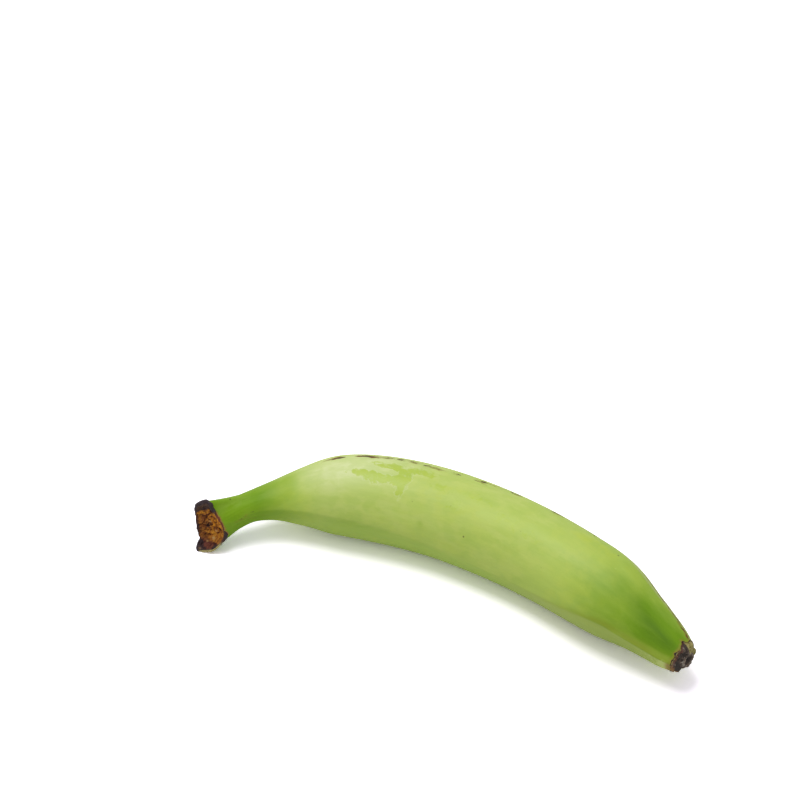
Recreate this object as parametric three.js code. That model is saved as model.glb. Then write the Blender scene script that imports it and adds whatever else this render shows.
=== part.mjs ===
// A whole green plantain, cut from its hand and lying on its side on a flat surface.
//
// Millimetres, +Z up. The origin is under the middle of the fruit, on the surface that it lies on.
// +X runs from the cut stem to the dried flower end, and the inside of the bend faces -Y.
//
// The fruit grew as one piece, so it is one closed solid: its skin is lofted through cross sections
// along a bent middle line, the stem end is closed by two knife strokes and the flower end is blunt.

import * as THREE from "three";
import { LoftGeometry } from "three/addons/geometries/LoftGeometry.js";

// ---- Driving dimensions ----

// Length of the middle line, from the knife cut to the dried flower end.
const LENGTH = 285;

// Each table holds [distance along the middle line, value], and a smooth curve joins its rows.
// Heading of the middle line seen from above, in degrees from +X.
const HEADING = [[0, 54.5], [25, 41], [55, 26], [105, 5], [155, -8], [215, -21], [LENGTH, -27]];
// Height of the middle line: the belly and the crown rest, and the flower end hangs clear.
const HEIGHT = [[0, 13.2], [25, 19], [50, 20.8], [80, 22.4], [215, 22.6], [250, 23.2], [LENGTH, 18.2]];
// Mean radius of the section: stem, shoulder, belly, and the taper to the flower end.
const RADIUS = [
  [0, 8.2], [24, 8.1], [38, 10.3], [53, 15], [73, 20.7], [103, 23],
  [158, 23.4], [213, 22.3], [238, 20.4], [258, 15.3], [270, 12.5], [278, 10.6], [LENGTH, 8.1],
];
// Turn of the ridges round the middle line, in degrees.
const TWIST = [[0, 18], [33, 14], [103, 4], [173, -9], [218, -4], [255, 10], [LENGTH, 24]];
// Height of the ridges, as a share of the radius.
const CREST = [[0, 0.05], [83, 0.05], [193, 0.06], [253, 0.1], [LENGTH, 0.16]];

// Angles are measured round the section from the inside of the bend (0) over the top (90).
const RIDGES = [0, 127, 214, 302];
const CREST_REACH = 26;
const CREST_ROUNDING = 7;
const CREST_MEAN = 0.55;

// The stem flares over its last FLARE millimetres into the cut crown: a rounded block whose
// faces are given as [angle, distance from the middle line].
const FLARE = 27;
const FLARE_POWER = 1.6;
const CROWN_FACES = [[24, 6], [67, 19.7], [136, 14.8], [186, 5.8], [207, 7.6], [290, 12.8], [-14, 9.9]];
const CROWN_SHARPNESS = 10;

// The two knife strokes: how far the cut lies along the stem for each millimetre sideways and up.
const MAIN_STROKE = { start: 1.9, perSide: 0.83, perUp: 0.12 };
const LOWER_STROKE = { start: 8.6, perSide: 0.47, perUp: 1.12 };

const TIP_BULGE = 2.7;
const SKIN_COLOUR = 0xa3bf5e;

// ---- Mesh resolution ----

const RINGS = 62;
const RING_POINTS = 48;
const END_CROWDING = 0.45;
const CUT_RING_SHARES = [0, 0.35, 0.7, 1];
const TIP_RING_ANGLES = [28, 52, 74, 90];
const LINE_STEP = 0.5;
const LINE_OVERRUN = 16;

const { clamp, degToRad, euclideanModulo } = THREE.MathUtils;

// A smooth curve through a table's rows: on each span a cubic whose end slopes are the slopes
// between the neighbouring rows. Past its ends the table keeps its end values.
function through(table, position) {
  const last = table.length - 1;
  const x = clamp(position, table[0][0], table[last][0]);
  const slope = (i) => {
    const [x0, y0] = table[Math.max(i - 1, 0)];
    const [x1, y1] = table[Math.min(i + 1, last)];
    return (y1 - y0) / (x1 - x0);
  };
  const next = clamp(table.findIndex(([start]) => start > x), 1, last);
  const i = x >= table[last][0] ? last - 1 : next - 1;
  const [x0, y0] = table[i];
  const [x1, y1] = table[i + 1];
  const span = x1 - x0;
  const t = (x - x0) / span;
  const toStart = 1 + t * t * (2 * t - 3);
  const startSlope = span * t * (1 - t) * (1 - t);
  const endSlope = span * t * t * (t - 1);
  return y0 * toStart + y1 * (1 - toStart) + slope(i) * startSlope + slope(i + 1) * endSlope;
}

// The middle line seen from above: short steps, each in the heading of its own middle.
function layMiddleLine() {
  const points = [new THREE.Vector2()];
  for (let s = -LINE_OVERRUN; s < LENGTH + LINE_OVERRUN; s += LINE_STEP) {
    const heading = degToRad(through(HEADING, s + LINE_STEP / 2));
    const step = new THREE.Vector2(Math.cos(heading), Math.sin(heading));
    points.push(points.at(-1).clone().addScaledVector(step, LINE_STEP));
  }
  return points;
}

const middleLine = layMiddleLine();

// The point that lies `side` towards the inside of the bend and `up` above the middle line.
// Nothing reaches below the surface, so the belly is pressed to a narrow flat where it rests.
function place(s, side, up) {
  const steps = (s + LINE_OVERRUN) / LINE_STEP;
  const before = clamp(Math.floor(steps), 0, middleLine.length - 2);
  const centre = middleLine[before].clone().lerp(middleLine[before + 1], steps - before);
  const heading = degToRad(through(HEADING, s));
  return new THREE.Vector3(
    centre.x + side * Math.sin(heading),
    centre.y - side * Math.cos(heading),
    Math.max(through(HEIGHT, s) + up, 0),
  );
}

// Radius of the ridged skin: a circle with a crest at each ridge that falls off on both sides.
function skinRadius(s, angle) {
  let crests = -CREST_MEAN;
  for (const ridge of RIDGES) {
    const away = euclideanModulo(angle - ridge - through(TWIST, s) + 180, 360) - 180;
    crests += Math.exp((CREST_ROUNDING - Math.hypot(away, CREST_ROUNDING)) / CREST_REACH);
  }
  return through(RADIUS, s) * (1 + through(CREST, s) * crests);
}

// Radius of the crown: a polygon whose corners are rounded by summing its faces as high powers.
function crownRadius(angle) {
  let sum = 0;
  for (const [direction, distance] of CROWN_FACES) {
    const facing = Math.max(0, Math.cos(degToRad(angle - direction)));
    sum += (facing / distance) ** CROWN_SHARPNESS;
  }
  return sum ** (-1 / CROWN_SHARPNESS);
}

// The section's outline at distance s, as how far it lies to the side and up.
function outline(s, angle) {
  const flare = clamp(1 - s / FLARE, 0, 1) ** FLARE_POWER;
  const radius = THREE.MathUtils.lerp(skinRadius(s, angle), crownRadius(angle), flare);
  const turn = degToRad(angle);
  return new THREE.Vector2(Math.cos(turn), Math.sin(turn)).multiplyScalar(radius);
}

// How far along the middle line the knife passed, at a point of the section.
function stemCut(point) {
  const stroke = ({ start, perSide, perUp }) => start + perSide * point.x + perUp * point.y;
  return Math.min(stroke(MAIN_STROKE), stroke(LOWER_STROKE));
}

// One ring of points, each given by the function that is handed its angle.
function ring(pointAt) {
  return Array.from({ length: RING_POINTS }, (_, i) => pointAt((-360 * i) / RING_POINTS));
}

// The cut face, from its middle point out to the rim.
function cutRings() {
  return CUT_RING_SHARES.map((share) =>
    ring((angle) => {
      const point = outline(0, angle).multiplyScalar(share);
      return place(stemCut(point), point.x, point.y);
    }),
  );
}

// The skin. Its rings are crowded at both ends, and those near the stem lean with the cut.
function skinRings() {
  return Array.from({ length: RINGS }, (_, i) => {
    const share = (i + 1) / RINGS;
    const crowding = (END_CROWDING * Math.sin(2 * Math.PI * share)) / (2 * Math.PI);
    const s = LENGTH * (share - crowding);
    const lean = clamp(1 - s / FLARE, 0, 1);
    return ring((angle) => {
      const along = s + lean * stemCut(outline(0, angle));
      const point = outline(along, angle);
      return place(along, point.x, point.y);
    });
  });
}

// The blunt dried end, as a shallow dome that closes in one point.
function tipRings() {
  return TIP_RING_ANGLES.map((domeAngle) => {
    const dome = degToRad(domeAngle);
    return ring((angle) => {
      const point = outline(LENGTH, angle).multiplyScalar(Math.cos(dome));
      return place(LENGTH + TIP_BULGE * Math.sin(dome), point.x, point.y);
    });
  });
}

function makePlantain() {
  const sections = [...cutRings(), ...skinRings(), ...tipRings()];
  const geometry = new LoftGeometry(sections);
  geometry.computeBoundingBox();
  const middle = geometry.boundingBox.getCenter(new THREE.Vector3());
  geometry.translate(-middle.x, -middle.y, -geometry.boundingBox.min.z);

  const skin = new THREE.MeshStandardMaterial({ color: SKIN_COLOUR, roughness: 0.45, metalness: 0 });
  const mesh = new THREE.Mesh(geometry, skin);
  mesh.name = "plantain";
  return mesh;
}

const fruit = new THREE.Group();
fruit.name = "fruit";
fruit.add(makePlantain());

export default fruit;
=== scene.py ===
"""A whole green plantain on a white studio floor.

The fruit is one closed surface in three finishes: waxy green peel, the dried cut of the stem, and
the dried flower end. It is worked out as a straight fruit first, in millimetres: `along` runs down
the middle line from the knife cut, `side` points to the inside of the bend and `up` to the sky.
The straight fruit is then bent along its middle line.
"""

from functools import partial, partialmethod, reduce
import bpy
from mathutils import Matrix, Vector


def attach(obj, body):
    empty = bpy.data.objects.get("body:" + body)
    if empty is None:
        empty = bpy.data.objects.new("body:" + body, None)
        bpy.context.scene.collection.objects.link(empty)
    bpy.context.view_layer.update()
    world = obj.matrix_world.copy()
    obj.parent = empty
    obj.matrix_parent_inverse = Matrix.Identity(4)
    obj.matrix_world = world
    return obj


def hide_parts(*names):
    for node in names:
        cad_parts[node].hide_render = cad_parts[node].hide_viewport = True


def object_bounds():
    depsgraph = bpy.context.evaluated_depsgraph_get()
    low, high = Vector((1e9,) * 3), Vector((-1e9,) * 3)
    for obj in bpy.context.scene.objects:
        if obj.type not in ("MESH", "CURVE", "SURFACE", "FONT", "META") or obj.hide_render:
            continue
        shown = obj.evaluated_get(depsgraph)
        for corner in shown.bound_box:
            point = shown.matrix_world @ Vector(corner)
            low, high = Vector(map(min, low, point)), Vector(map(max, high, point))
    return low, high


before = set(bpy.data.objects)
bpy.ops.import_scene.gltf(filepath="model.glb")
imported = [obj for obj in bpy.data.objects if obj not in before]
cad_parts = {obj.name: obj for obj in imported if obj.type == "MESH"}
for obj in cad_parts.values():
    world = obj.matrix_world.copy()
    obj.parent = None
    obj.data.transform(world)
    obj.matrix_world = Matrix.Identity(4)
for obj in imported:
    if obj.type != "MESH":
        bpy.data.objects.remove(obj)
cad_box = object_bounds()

from types import SimpleNamespace

import bpy
import numpy as np
from bpy.props import FloatProperty, FloatVectorProperty, PointerProperty
from mathutils import Vector

bl_info = {
    "name": "Green Plantain",
    "version": (1, 0, 0),
    "blender": (4, 5, 0),
    "location": "View3D > Sidebar > Plantain",
    "description": "Grows a whole green plantain and sets up the studio that it lies in",
    "category": "Add Mesh",
}

MM = 0.001
NODE = "plantain"

# ---- The fruit's form, as in the CAD part: [distance along the middle line, value] ----

LENGTH = 285
HEADING = [[0, 54.5], [25, 41], [55, 26], [105, 5], [155, -8], [215, -21], [LENGTH, -27]]
HEIGHT = [[0, 13.2], [25, 19], [50, 20.8], [80, 22.4], [215, 22.6], [250, 23.2], [LENGTH, 18.2]]
RADIUS = [
    [0, 8.2], [24, 8.1], [38, 10.3], [53, 15], [73, 20.7], [103, 23],
    [158, 23.4], [213, 22.3], [238, 20.4], [258, 15.3], [270, 12.5], [278, 10.6], [LENGTH, 8.1],
]
TWIST = [[0, 18], [33, 14], [103, 4], [173, -9], [218, -4], [255, 10], [LENGTH, 24]]
CREST = [[0, 0.05], [83, 0.05], [193, 0.06], [253, 0.1], [LENGTH, 0.16]]
RIDGES = [0, 127, 214, 302]
CREST_REACH = 26
CREST_ROUNDING = 7
CREST_MEAN = 0.55
FLARE = 27
FLARE_POWER = 1.6
CROWN_FACES = [[24, 6], [67, 19.7], [136, 14.8], [186, 5.8], [207, 7.6], [290, 12.8], [-14, 9.9]]
CROWN_SHARPNESS = 10
# Each knife stroke: where it starts, and how much further it lies per millimetre aside and up.
KNIFE_STROKES = [(1.9, 0.83, 0.12), (8.6, 0.47, 1.12)]
TIP_BULGE = 2.7
LINE_STEP = 0.5
LINE_OVERRUN = 16

# ---- Finer form, which the CAD part leaves out ----

# Depth of the hollow between two ridges, as it deepens towards the flower end.
VALLEY = [[0, 0.2], [35, 0.5], [70, 0], [200, 0], [240, 0.6], [266, 1.3], [LENGTH, 0.6]]
# Where each hollow runs, in degrees from its ridge, its share of the depth, and how wide it is.
VALLEYS = [[62, 1], [170, 0.5], [258, 0.5], [331, 0.4]]
VALLEY_WIDTH = 22
# How sharp the ridges are, as the width of their rounding, and how far they wander, in degrees.
RIDGE_EDGE = [[0, 8], [50, 4], [150, 4.5], [225, 4], [LENGTH, 4]]
RIDGE_WANDER = 1.3
# How far the front ridge (0) and the top one (1) swing towards the front near the end, in degrees.
DRAWN_IN = {
    0: [[0, 0], [232, 2], [246, 0], [254, -7], [264, -14], [274, -18], [LENGTH, -20]],
    1: [[0, 0], [222, 0], [250, -20], [264, -27], [276, -33], [LENGTH, -38]],
}
# Where the peel stops and the dried flower end starts, and how far the end reaches into the peel
# (or, below 0, falls short) round some angles: (how far, angle, width).
DRIED_FROM = 284
TONGUES = [(2.2, 90, 8), (0.6, 77, 5), (-0.2, 145, 28)]

# ---- Marks on the peel ----

# Where the dark hollow above the front ridge runs, in degrees from that ridge.
HOLLOW_LINE = [[0, 76], [236, 76], [251, 67], [262, 51], [270, 43], [277, 36], [LENGTH, 32]]
# Where brown specks lie beyond the top ridge near the end, in millimetres from it.
BACK_LINE = [[230, 7], [251, 5.2], [264, 3], [274, 1.6], [LENGTH, 0.8]]
# The line of knocks along the top: their degrees from the front ridge, then where each one lies,
# how long it is and how strong.
KNOCK_LINE = [
    [60, 100], [67, 105], [73, 109], [86, 113], [93, 112], [101, 115], [110, 115], [124, 114],
    [135, 116], [149, 121], [167, 128], [214, 130],
]
KNOCK_MARKS = [
    (65, 2.5, 0.4), (72, 4, 0.95), (84, 3, 0.75), (90, 4.5, 1), (98, 3, 0.7), (104, 2.5, 0.5),
    (111, 3.5, 0.7), (118, 3, 0.36), (124, 4, 0.54), (135, 3, 0.36), (149, 4.5, 0.44),
    (158, 3, 0.34), (167, 4, 0.42), (190, 6, 0.34), (214, 7, 0.34),
]
KNOCK_WIDTH = 5.4
# Patches as bells: (strength, degrees from the front ridge, width, distance along, length).
RUBBED = [
    (1.0, 73, 6, 86, 7), (1.2, 69, 9, 98, 9), (1.2, 91, 7, 102, 10), (-1.5, 81, 3.5, 101, 6),
    (-0.8, 58, 4, 103, 3), (1.2, 74, 13, 110, 4.5), (1.0, 56, 9, 110.5, 2.2),
    (1.0, 97, 8, 120, 9), (0.7, 80, 8, 131, 7), (0.65, 66, 9, 144, 7), (0.6, 90, 8, 152, 11),
    (0.55, 80, 9, 170, 11), (0.5, 74, 9, 190, 12),
]
MELLOW = [(1.0, 72, 26, 136, 24), (1.2, 110, 8, 218, 17)]
# Painted shade: where the bloom is dimmed on the upper flank, to hold down the lamp's highlight
# there.
SHADE_ON_BLOOM = [(0.3, 62, 18, 182, 42), (0.5, 89, 13, 182, 42)]
# Painted highlight: a pale band along the top of the stem, added to the frost.
STEM_HIGHLIGHT = [(0.75, 62, 15, 20, 15)]
DARK_SPOT = [(0.3, 25, 6, 127, 2.2)]

# ---- Mesh ----

COLUMNS = 180
CUT_ROWS = 60
DOME_ROWS = 40
DOME_POWERS = (0.8, 0.9)
# Over how many millimetres before the dried border the rows of points bend to follow it.
BORDER_BEND = 18
RING_STEP = [
    [0, 0.2], [6, 0.3], [30, 0.6], [60, 0.95], [230, 0.95], [262, 0.6], [276, 0.28], [283, 0.16],
    [LENGTH, 0.1],
]
# How the rim of the cut and the edge of the dome are rounded: over how many rows, and how often.
RIM_ROUNDING = (2.2, 10)
DOME_ROUNDING = (5, 24)

# ---- The flat map that the finishes can be baked to, which is 1 wide and 1 high ----

STRIP_CORNER = 0.01
STRIP_SIZE = (0.98, 0.6)
CUT_PLACE = (0.2, 0.8)
CUT_MIDDLE_UP = 1.5
CUT_SCALE = 0.0105
END_PLACE = (0.7, 0.81)
END_RADIUS = 0.175


def through(table, position):
    """A smooth curve through a table's rows, for an array of positions.

    Between two rows it is the cubic whose slope at each row is the slope between that row's
    neighbours. Past its ends the table keeps its end values.
    """
    x, y = np.array(table, float).T
    rise = np.diff(y) / np.diff(x)
    slope = np.concatenate([rise[:1], (y[2:] - y[:-2]) / (x[2:] - x[:-2]), rise[-1:]])
    at = np.clip(position, x[0], x[-1])
    i = np.clip(np.searchsorted(x, at, side="right") - 1, 0, len(x) - 2)
    span = x[i + 1] - x[i]
    t = (at - x[i]) / span
    to_start = 1 + t * t * (2 * t - 3)
    bow = slope[i] * span * t * (1 - t) ** 2 + slope[i + 1] * span * t * t * (t - 1)
    return y[i] * to_start + y[i + 1] * (1 - to_start) + bow


def ease(low, high, value):
    """0 below low, 1 above high, and 3t^2 - 2t^3 between them."""
    t = np.clip((value - low) / (high - low), 0, 1)
    return t * t * (3 - 2 * t)


def hump(value, middle, width):
    """A bell of height 1 round middle: e to the minus ((value - middle) / width) squared."""
    return np.exp(-(((value - middle) / width) ** 2))


def turned(angle, middle):
    """How far an angle lies past a middle angle, from -180 to 180 degrees."""
    return (angle - middle + 180) % 360 - 180


def around(angle, middle, width):
    """A bell of height 1 round a middle angle, in degrees."""
    return hump(turned(angle, middle), 0, width)


def bells(patches, turn, along):
    """A sum of bells, each given as (strength, middle turn, width, middle along, length)."""
    return sum(
        strength * hump(turn, middle, width) * hump(along, place, length)
        for strength, middle, width, place, length in patches
    )


def stacked(*parts):
    """Arrays and numbers, spread to one shape, as the last axis of one array."""
    return np.stack(np.broadcast_arrays(*parts), -1)


def noise(places, seed=0):
    """Smooth random values from about -1 to 1 at an array of places, one hill or hollow a unit.

    Each corner of a grid of unit cubes has a slope mixed from its whole numbers and the seed. A
    place takes the slopes of the eight corners round it, each times the way from that corner,
    blended by 6t^5 - 15t^4 + 10t^3.
    """
    cell = np.floor(places).astype(np.int64)
    within = places - cell
    blend = within**3 * (within * (within * 6 - 15) + 10)
    total = np.zeros(places.shape[:-1])
    for corner in np.ndindex(2, 2, 2):
        key = (cell + corner) * (374761393, 668265263, 1103515245)
        mixed = (key.sum(-1) + seed * 974634777) & 0xFFFFFFFF
        mixed = ((mixed ^ (mixed >> 15)) * 2246822519) & 0xFFFFFFFF
        mixed = ((mixed ^ (mixed >> 13)) * 3266489917) & 0xFFFFFFFF
        mixed ^= mixed >> 16
        slopes = stacked(mixed & 1023, (mixed >> 10) & 1023, (mixed >> 20) & 1023) / 511.5 - 1
        weight = np.prod(np.where(corner, blend, 1 - blend), -1)
        total += weight * ((within - corner) * slopes).sum(-1)
    return 1.5 * total


def layered(places, layers, seed=0):
    """Noise in layers, each twice as fine as the last and 0.55 times as high."""
    return sum(0.55**i * noise(places * 2.0**i, seed + i) for i in range(layers))


def ridge_line(number, along):
    """The angle at which a ridge runs: its own plus the twist, and drawn in near the flower end."""
    line = RIDGES[number] + through(TWIST, along)
    return line + through(DRAWN_IN[number], along) if number in DRAWN_IN else line


def skin_radius(along, angle):
    """The ridged skin's radius: a circle with a crest at each ridge, which falls off on both sides.

    Radius = R (1 + C (sum of e^((7 - sqrt(away^2 + E^2)) / 26) - 0.55)) - valleys, with R, C and E
    from their tables and `away` the degrees from a ridge. Its line wanders over hills 34 mm long.
    """
    crests = -CREST_MEAN
    edge = through(RIDGE_EDGE, along)
    for number in range(len(RIDGES)):
        wander = RIDGE_WANDER * noise(stacked(along / 34, number * 7.3, 0), 3)
        away = turned(angle, ridge_line(number, along) + wander)
        crests = crests + np.exp((CREST_ROUNDING - np.hypot(away, edge)) / CREST_REACH)
    twist = through(TWIST, along)
    valleys = sum(share * around(angle, middle + twist, VALLEY_WIDTH) for middle, share in VALLEYS)
    ridged = through(RADIUS, along) * (1 + through(CREST, along) * crests)
    return ridged - through(VALLEY, along) * valleys


def crown_radius(angle):
    """The crown's radius: a polygon, rounded at its corners by summing its faces' tenth powers."""
    total = 0
    for direction, distance in CROWN_FACES:
        facing = np.maximum(0, np.cos(np.radians(angle - direction)))
        total = total + (facing / distance) ** CROWN_SHARPNESS
    return total ** (-1 / CROWN_SHARPNESS)


def outline(along, angle):
    """The section's outline as (side, up): the skin's, blended into the crown's over the flare."""
    flare = np.clip(1 - along / FLARE, 0, 1) ** FLARE_POWER
    radius = skin_radius(along, angle) * (1 - flare) + crown_radius(angle) * flare
    turn = np.radians(angle)
    return radius * np.cos(turn), radius * np.sin(turn)


def stem_cut(side, up):
    """How far along the knife passed: the nearer of its two strokes, which are planes."""
    planes = [start + per_side * side + per_up * up for start, per_side, per_up in KNIFE_STROKES]
    return np.minimum(*planes)


def dried_border(angle):
    """How far past DRIED_FROM the peel ends at an angle: noise, less the tongues."""
    turn = np.radians(angle)
    ragged = 0.3 * layered(stacked(np.cos(turn), np.sin(turn), 0) * 2.6, 3, 40)
    tongues = sum(far * around(angle, middle, width) for far, middle, width in TONGUES)
    return np.minimum(0.6 + ragged - tongues, 0.85)


def bent(along, side, up):
    """Carries points of the straight fruit to the bent one.

    The middle line is walked in half-millimetre steps, each in the heading of its own middle. A
    point goes `side` square to that heading and `up` above the middle line's height.
    """
    marks = np.arange(-LINE_OVERRUN, LENGTH + LINE_OVERRUN, LINE_STEP)
    steps = np.radians(through(HEADING, marks + LINE_STEP / 2))
    marks = np.append(marks, marks[-1] + LINE_STEP)
    x = np.append(0, np.cumsum(np.cos(steps)) * LINE_STEP)
    y = np.append(0, np.cumsum(np.sin(steps)) * LINE_STEP)
    heading = np.radians(through(HEADING, along))
    return stacked(
        np.interp(along, marks, x) + side * np.sin(heading),
        np.interp(along, marks, y) - side * np.cos(heading),
        through(HEIGHT, along) + up,
    )


def skin_stations():
    """Where the skin's rings lie: the step between them follows RING_STEP. One is at DRIED_FROM."""
    fine = np.linspace(0, LENGTH, 6001)
    rings = np.append(0, np.cumsum(np.diff(fine) / through(RING_STEP, fine[1:])))
    stations = np.interp(np.linspace(0, rings[-1], int(rings[-1]) + 1)[1:], rings, fine)
    border = np.abs(stations - DRIED_FROM).argmin()
    stations[border] = DRIED_FROM
    return stations, border


def straight_fruit():
    """The straight fruit as rows of (along, side, up), with the angle of each point.

    The rows run from the middle of the cut face out to its rim, crowding towards it, down the skin,
    and over the dome that closes the flower end. The dome shrinks with a cosine's power and rises
    with a sine's, which makes it blunt. The rows near the stem lean with the cut, and those near
    the flower end bend with the dried end's border. Also returns the row numbers of the rim, the
    border and the dome's edge.
    """
    angle = (360 / COLUMNS * np.arange(COLUMNS))[None, :]
    t = np.linspace(0, 1, CUT_ROWS)[:, None]
    share = 0.6 * t + 0.4 * np.sin(np.pi / 2 * t)
    rim_side, rim_up = outline(np.zeros_like(angle), angle)
    cut = [stem_cut(share * rim_side, share * rim_up), share * rim_side, share * rim_up]

    station, border = skin_stations()
    station = station[:, None]
    past = (station - DRIED_FROM) / (LENGTH - DRIED_FROM)
    bend = np.where(past < 0, ease(DRIED_FROM - BORDER_BEND, DRIED_FROM, station), 1 - past)
    lean = np.clip(1 - station / FLARE, 0, 1)
    along = station + lean * stem_cut(rim_side, rim_up) + bend * dried_border(angle)
    skin = [along, *outline(along, angle)]

    dome = np.radians(np.linspace(0, 90, DOME_ROWS + 1)[1:, None])
    end_side, end_up = outline(np.full_like(angle, LENGTH), angle)
    flat = np.cos(dome) ** DOME_POWERS[0]
    end = LENGTH + TIP_BULGE * np.sin(dome) ** DOME_POWERS[1] + 0 * angle
    tip = [end, end_side * flat, end_up * flat]

    points = np.stack([np.concatenate(rows) for rows in zip(cut, skin, tip)], -1)
    rows = (CUT_ROWS - 1, CUT_ROWS + border, CUT_ROWS + len(station) - 1)
    return points, np.broadcast_to(angle, points.shape[:2]), rows


def rounded_rows(points, row, reach, rounds):
    """Rounds the edge along one row: near it, each row moves towards the mean of its neighbours."""
    rows = np.arange(len(points))[:, None, None]
    share = 0.5 * hump(rows, row, reach)
    share[[0, -1]] = 0
    for _ in range(rounds):
        mean = (np.roll(points, 1, 0) + np.roll(points, -1, 0)) / 2
        points = points + share * (mean - points)
    return points


def outward(points):
    """The unit normals of a surface given as rows of points, each row a closed ring."""
    down = np.gradient(points, axis=0)
    across = np.roll(points, -1, 1) - np.roll(points, 1, 1)
    normal = np.cross(down, across)
    normal[0] = normal[1].mean(0)
    normal[-1] = normal[-2].mean(0)
    return normal / np.maximum(np.linalg.norm(normal, axis=-1, keepdims=True), 1e-12)


def fields(points, angle, rows):
    """What each point of the straight fruit is like, as named arrays in millimetres or degrees.

    from_rim: way from the rim of the cut, negative on the cut face. past_peel: way past the peel's
    end, negative on the peel. travelled: way from the middle of the cut. turn: degrees from the
    front ridge, over the top. front_ridge, top_ridge, from_ridge: way round the skin to those ridge
    lines and to the nearest.
    """
    along, side, up = points[..., 0], points[..., 1], points[..., 2]
    rim, border, _ = rows
    step = np.linalg.norm(np.diff(points, axis=0), axis=-1)
    travelled = np.concatenate([np.zeros((1, step.shape[1])), np.cumsum(step, 0)])
    radius = np.hypot(side, up)
    lines = [ridge_line(number, along) for number in range(len(RIDGES))]
    away = [np.radians(turned(angle, line)) * radius for line in lines]
    return SimpleNamespace(
        along=along,
        side=side,
        up=up,
        radius=radius,
        angle=turned(angle, 0),
        travelled=travelled,
        from_rim=travelled - travelled[rim],
        past_peel=travelled - travelled[border],
        turn=turned(angle, through(TWIST, along)),
        front_ridge=away[0],
        top_ridge=away[1],
        from_ridge=np.abs(away).min(0),
    )


def hills(at, *sizes):
    """Places for noise whose hills measure these millimetres along, to the side and up."""
    return stacked(at.along, at.side, at.up) / sizes


def peel_relief(at, shape):
    """Height of the skin's own unevenness, in millimetres.

    Long low swellings, finer ones along the fruit, dried-up seams on the ridges near the flower
    end, and shallow dents where the top ridge has been knocked.
    """
    along, fine = at.along, hills(at, 26, 5, 5)
    uneven = 0.75 * noise(hills(at, 38, 15, 15), 11) + 0.2 * layered(fine, 2, 15)
    seam = 0.28 * ease(225, 262, along) * hump(at.from_ridge, 0, 0.9)
    grooves = layered(stacked(along / 14, at.angle / 7, 0), 2, 18)
    shrunk = 0.16 * grooves * (ease(240, 272, along) + 0.7 * ease(46, 18, along))
    dents = -0.35 * knocked(at) * (0.6 + 0.4 * noise(fine * 4, 19))
    peel = shape.unevenness / MM * uneven + seam + shrunk + dents
    return peel * ease(0, 5, at.from_rim) * ease(0, -3, at.past_peel)


def knocked(at):
    """Where the top ridge has been knocked, from 0 to 1: a row of long bells along KNOCK_LINE."""
    along = at.along
    row = sum(strength * hump(along, middle, length) for middle, length, strength in KNOCK_MARKS)
    return np.clip(row, 0, 1) * around(at.turn, through(KNOCK_LINE, along), KNOCK_WIDTH)


def cut_relief(at, shape):
    """Height of the dried cut, in millimetres, out of the stem.

    A rolled lip runs along the rim and is broad at the crown's corners. Inside it the face is
    dished, torn into strands, pitted and split, and a low welt runs where the two strokes meet.
    """
    inside, side, up = -at.from_rim, at.side, at.up
    flat = stacked(side, up, 0)
    corners = 2.2 * hump(up, 15, 5) + 1.6 * hump(side, 8, 3) * hump(up, -3, 5)
    lip = 0.9 + corners + 0.35 * noise(flat / 2.6, 21)
    roll = shape.lip_height / MM * (1 + 0.35 * corners) * hump(inside, 0.4 * lip, 0.7 * lip)
    face = ease(0.6, 1.3, inside / lip)
    dish = -shape.dish_depth / MM * ease(0.8, 4.5, inside / np.sqrt(lip))
    strands = stacked((side - 0.35 * up) / 1.1, (up + 0.35 * side) / 2.3, 0)
    torn = 0.5 - np.abs(layered(strands, 3, 24)) + 0.8 * layered(flat / 2.8, 3, 27)
    split = -hump(noise(flat / 4.5 + 4.2, 31), 0, 0.07)
    welt = 0.9 * hump(6.7 - 0.36 * side + up, 0, 0.8)
    knobs = layered(stacked(side, up, at.along) / 1.6, 2, 35)
    rough = face * (shape.strand_height / MM * torn + 0.9 * split + welt)
    on_face = roll * (1 + 0.3 * knobs) + dish + rough
    return np.where(inside > 0, on_face, roll) + 0.38 * knobs * hump(inside, 0.3, 1.5)


def dried_relief(at, shape):
    """Height of the dried flower end, in millimetres.

    The peel ends in a thin lip, then the surface drops and crumples: folds that run to the tip,
    lumps, a deep notch at the back, and a ragged ring round the scar in the middle.
    """
    past, radius = at.past_peel, at.radius
    on = ease(-0.2, 0.8, past)
    lip = 0.3 * hump(past, -0.5, 0.5)
    folds = np.abs(layered(hills(at, 4, 1.7, 1.7), 3, 51))
    crumple = 0.35 - folds + 0.9 * layered(hills(at, 2.6, 3.1, 3.1), 3, 55)
    middle = np.clip((at.along - LENGTH) / TIP_BULGE, 0, 1) ** 2
    scar = middle * (hump(radius, 3.4, 1.1) - 1.7 * hump(radius, 0, 2.1))
    notch = -2.2 * around(at.angle, 152, 11) * hump(past, 1.6, 1.3)
    return lip + on * (shape.wrinkle_height / MM * crumple - 0.25) + scar * on + notch


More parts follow.
